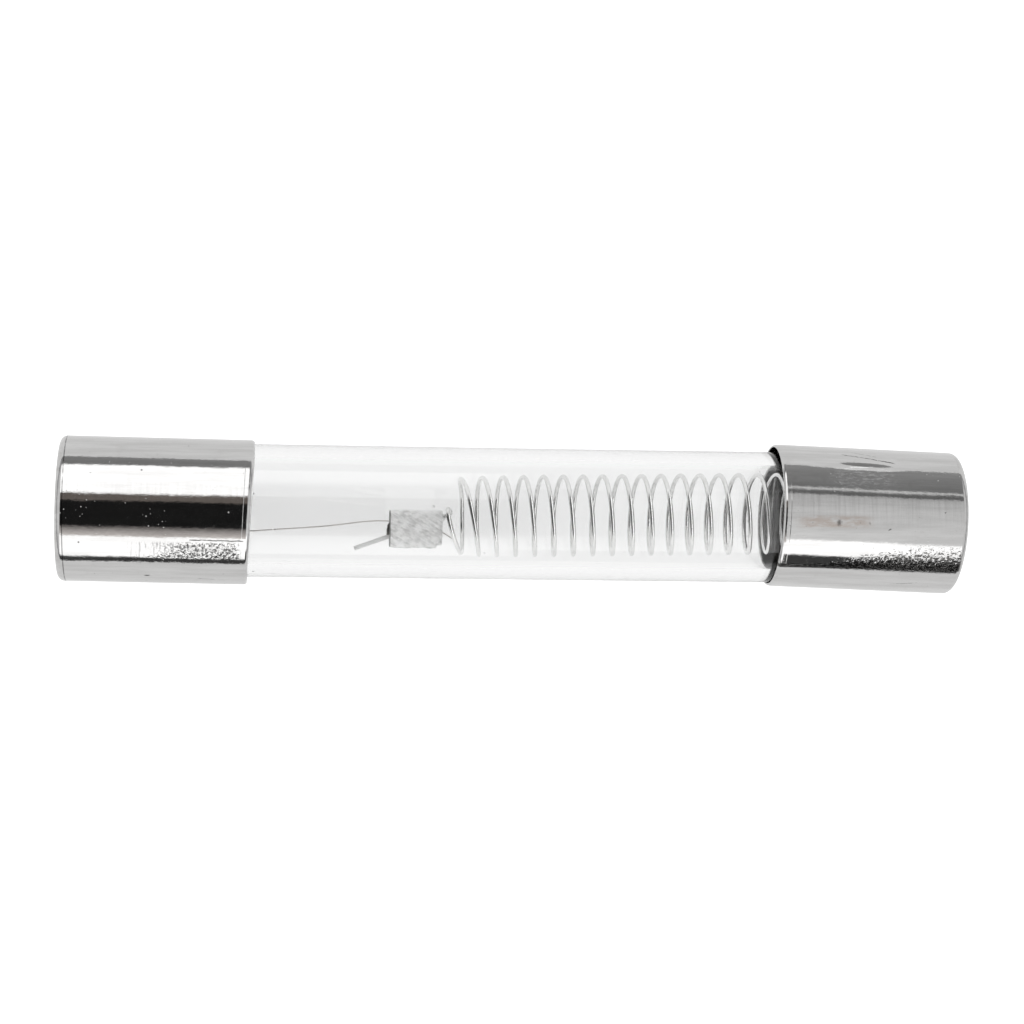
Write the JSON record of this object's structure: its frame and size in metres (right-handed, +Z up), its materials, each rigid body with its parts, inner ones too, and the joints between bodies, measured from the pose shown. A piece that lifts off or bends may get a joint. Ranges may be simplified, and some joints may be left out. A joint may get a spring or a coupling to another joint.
{
  "type": "cartridge fuse",
  "caption": "Glass cartridge fuse with plated end caps; a stretched coil spring inside pulls the splice away when the fine wire melts.",
  "frame": {"origin": "centre of the fuse on the glass tube's axis, half way between the end faces", "axes": "+X along the fuse from the wire side to the spring side, +Z up with the fuse lying on its side, +Y across"},
  "size_m": [0.0401, 0.0067, 0.0064],
  "materials": {
    "tube_glass": "polished",
    "cap_plating": "polished",
    "cement": "matte",
    "solder": "satin",
    "fuse_wire": "satin",
    "tinned_sleeve": "satin",
    "spring_wire": "gloss"
  },
  "bodies": {
    "root": {"glass_tube": "tube_glass", "wire_side_cap": "cap_plating", "spring_side_cap": "cap_plating", "wire_side_cement": "cement", "spring_side_cement": "cement", "wire_side_solder": "solder", "spring_side_solder": "solder", "fuse_wire_fixed": "fuse_wire", "tension_spring": "spring_wire"},
    "splice": {"splice_sleeve": "tinned_sleeve", "splice_solder": "solder", "spring_tail": "spring_wire", "fuse_wire_free": "fuse_wire"}
  },
  "joints": [
    {"name": "splice_release", "type": "slide", "parent": "root", "child": "splice", "axis": [1, 0, 0], "range_m": [0, 0.015], "deforming": ["tension_spring"]}
  ]
}
